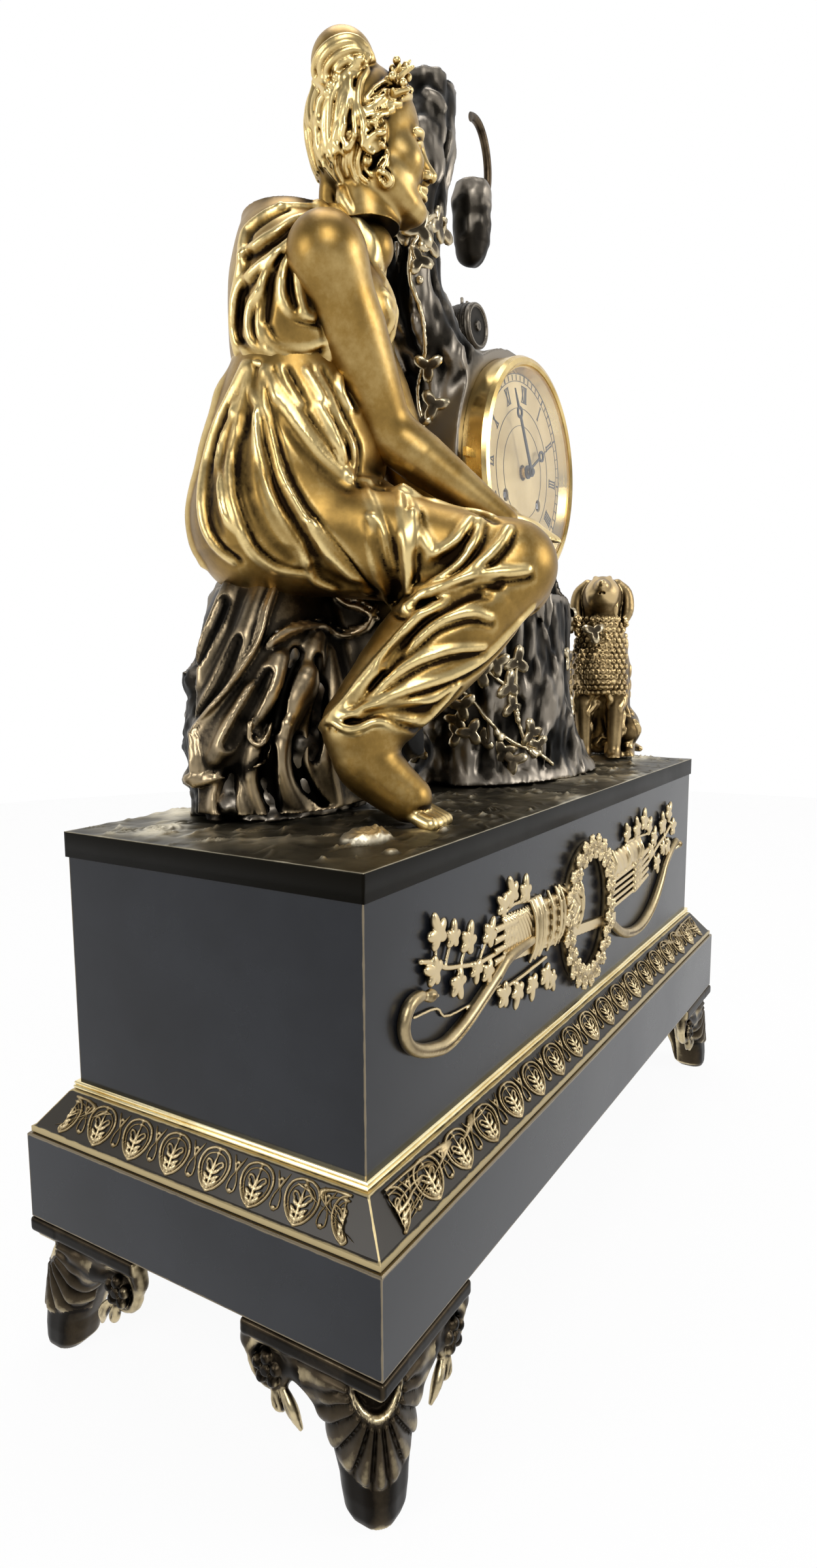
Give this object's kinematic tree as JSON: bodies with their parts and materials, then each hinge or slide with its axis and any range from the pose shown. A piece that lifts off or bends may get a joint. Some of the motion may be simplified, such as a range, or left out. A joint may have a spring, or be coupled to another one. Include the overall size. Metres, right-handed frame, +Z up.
{
  "type": "figural mantel clock",
  "caption": "Seated draped figure, hollow tree with a round clock drum and a sitting dog on a stepped bronze base with scroll feet",
  "frame": {"origin": "on the ground under the middle of the plinth", "axes": "+X along the front to the right, +Y to the back, +Z up"},
  "size_m": [0.4214, 0.173, 0.5494],
  "materials": {
    "base_patina": "near black satin patina, bright worn edges",
    "frieze_bronze": "dark brown ground, relief rubbed to gold",
    "bright_brass": "bright, lightly worn",
    "terrain_bronze": "olive brown patina, rubbed high spots",
    "rock_bronze": "olive brown patina, rubbed high spots",
    "trunk_bronze": "olive brown patina, rubbed bark ridges",
    "dog_bronze": "brown patina, rubbed muzzle and chest",
    "foot_bronze": "dark bronze, flutes rubbed to gold",
    "relief_gilt": "rubbed gilt over dark recesses",
    "figure_gilt": "gilt, brown in the recesses",
    "bezel_gilt": "gilt, satin",
    "movement_brass": "clean, fine brushed",
    "dial_silvered": "pale matte gilt with an engine turned middle",
    "bell_metal": "polished",
    "blued_steel": "dark blued",
    "steel": "plain",
    "board_wood": "plain stained",
    "clear_glass": "clear, slightly domed"
  },
  "bodies": {
    "case": {"plinth": "base_patina", "upper_case": "base_patina", "frieze_moulding": "frieze_bronze", "rod_moulding": "bright_brass", "terrain_plate": "terrain_bronze", "base_board": "board_wood", "tie_rods": "steel", "fixing_nuts": "steel", "fixing_studs": "steel", "foot_screws": "steel", "foot_front_left": "foot_bronze", "foot_front_right": "foot_bronze", "foot_rear_left": "foot_bronze", "foot_rear_right": "foot_bronze", "mount_bow": "relief_gilt", "mount_wreath": "relief_gilt", "mount_quiver_left": "relief_gilt", "mount_quiver_right": "relief_gilt", "mount_ivy_left": "relief_gilt", "mount_ivy_right": "relief_gilt", "rock_seat": "rock_bronze", "seat_drapery": "figure_gilt", "figure_skirt": "figure_gilt", "figure_torso": "figure_gilt", "figure_head": "figure_gilt", "figure_arm_right": "figure_gilt", "tree_trunk": "trunk_bronze", "quiver_pouch": "trunk_bronze", "pouch_strap": "trunk_bronze", "round_flask": "trunk_bronze", "dog": "dog_bronze", "dial_ring": "bezel_gilt", "dial": "dial_silvered", "front_plate": "movement_brass", "back_plate": "movement_brass", "bell": "bell_metal", "bell_stand": "steel", "rear_ring": "bezel_gilt", "case_rods": "steel"},
    "bezel_door": {"bezel": "bezel_gilt", "glass": "clear_glass"},
    "rear_door": {"rear_door": "bezel_gilt"},
    "minute": {"centre_wheel": "movement_brass", "minute_hand": "blued_steel"},
    "hour": {"hour_wheel": "movement_brass", "hour_hand": "blued_steel"},
    "minute_wheel": {"minute_wheel": "movement_brass"},
    "intermediate": {"intermediate_wheel": "movement_brass"},
    "going_barrel": {"going_barrel": "movement_brass"},
    "third": {"third_wheel": "movement_brass"},
    "escape": {"escape_wheel": "movement_brass"},
    "strike_barrel": {"strike_barrel": "movement_brass"},
    "count_wheel": {"count_wheel": "movement_brass"},
    "going_arbor": {"going_arbor": "steel"},
    "strike_arbor": {"strike_arbor": "steel"},
    "pendulum": {"pendulum_rod": "steel", "bob": "movement_brass"},
    "anchor": {"anchor": "steel"},
    "rating_nut": {"rating_nut": "movement_brass"},
    "hammer": {"hammer": "steel"}
  },
  "joints": [
    {"name": "bezel_door", "type": "hinge", "parent": "case", "child": "bezel_door", "pos_m": [0.0831, -0.02047, 0.378], "axis": [0, 0, 1], "range_deg": [0, 110]},
    {"name": "rear_door", "type": "hinge", "parent": "case", "child": "rear_door", "pos_m": [0.07953, 0.06176, 0.378], "axis": [0, 0, -1], "range_deg": [0, 100]},
    {"name": "minute_turn", "type": "hinge", "parent": "case", "child": "minute", "pos_m": [0.025, -0.0165, 0.378], "axis": [0, 1, 0], "continuous": true},
    {"name": "hour_turn", "type": "hinge", "parent": "case", "child": "hour", "pos_m": [0.025, -0.0165, 0.378], "axis": [0, 1, 0], "continuous": true},
    {"name": "minute_wheel_turn", "type": "hinge", "parent": "case", "child": "minute_wheel", "pos_m": [0.025, -0.0165, 0.3906], "axis": [0, 1, 0], "continuous": true},
    {"name": "intermediate_turn", "type": "hinge", "parent": "case", "child": "intermediate", "pos_m": [0.04375, -0.0165, 0.38496], "axis": [0, 1, 0], "continuous": true},
    {"name": "going_barrel_turn", "type": "hinge", "parent": "case", "child": "going_barrel", "pos_m": [0.045, -0.0165, 0.364], "axis": [0, 1, 0], "continuous": true},
    {"name": "third_turn", "type": "hinge", "parent": "case", "child": "third", "pos_m": [0.01632, -0.0165, 0.39204], "axis": [0, 1, 0], "continuous": true},
    {"name": "escape_turn", "type": "hinge", "parent": "case", "child": "escape", "pos_m": [0.025, -0.0165, 0.405], "axis": [0, 1, 0], "continuous": true},
    {"name": "strike_barrel_turn", "type": "hinge", "parent": "case", "child": "strike_barrel", "pos_m": [0.005, -0.0165, 0.364], "axis": [0, 1, 0], "continuous": true},
    {"name": "count_wheel_turn", "type": "hinge", "parent": "case", "child": "count_wheel", "pos_m": [-0.0055, -0.0165, 0.38219], "axis": [0, 1, 0], "continuous": true},
    {"name": "going_winding", "type": "hinge", "parent": "case", "child": "going_arbor", "pos_m": [0.045, -0.0165, 0.364], "axis": [0, 1, 0], "continuous": true},
    {"name": "strike_winding", "type": "hinge", "parent": "case", "child": "strike_arbor", "pos_m": [0.005, -0.0165, 0.364], "axis": [0, 1, 0], "continuous": true},
    {"name": "pendulum_swing", "type": "hinge", "parent": "case", "child": "pendulum", "pos_m": [0.025, -0.0165, 0.4164], "axis": [0, 1, 0], "range_deg": [-3.5, 3.5]},
    {"name": "anchor_swing", "type": "hinge", "parent": "case", "child": "anchor", "pos_m": [0.025, -0.0165, 0.4164], "axis": [0, 1, 0], "range_deg": [-3.5, 3.5]},
    {"name": "rating_turn", "type": "hinge", "parent": "pendulum", "child": "rating_nut", "pos_m": [0.025, 0.024, 0.2764], "axis": [0, 0, 1], "continuous": true},
    {"name": "hammer_swing", "type": "hinge", "parent": "case", "child": "hammer", "pos_m": [0.05893, -0.0165, 0.38003], "axis": [0, -1, 0], "range_deg": [0, 9]}
  ],
  "couplings": [
    {"joint": "hour_turn", "follows": "minute_turn", "ratio": 0.083333},
    {"joint": "minute_wheel_turn", "follows": "minute_turn", "ratio": -0.33333},
    {"joint": "intermediate_turn", "follows": "minute_turn", "ratio": -0.14286},
    {"joint": "going_barrel_turn", "follows": "minute_turn", "ratio": 0.02381},
    {"joint": "count_wheel_turn", "follows": "strike_barrel_turn", "ratio": -6},
    {"joint": "anchor_swing", "follows": "pendulum_swing", "ratio": 1}
  ]
}
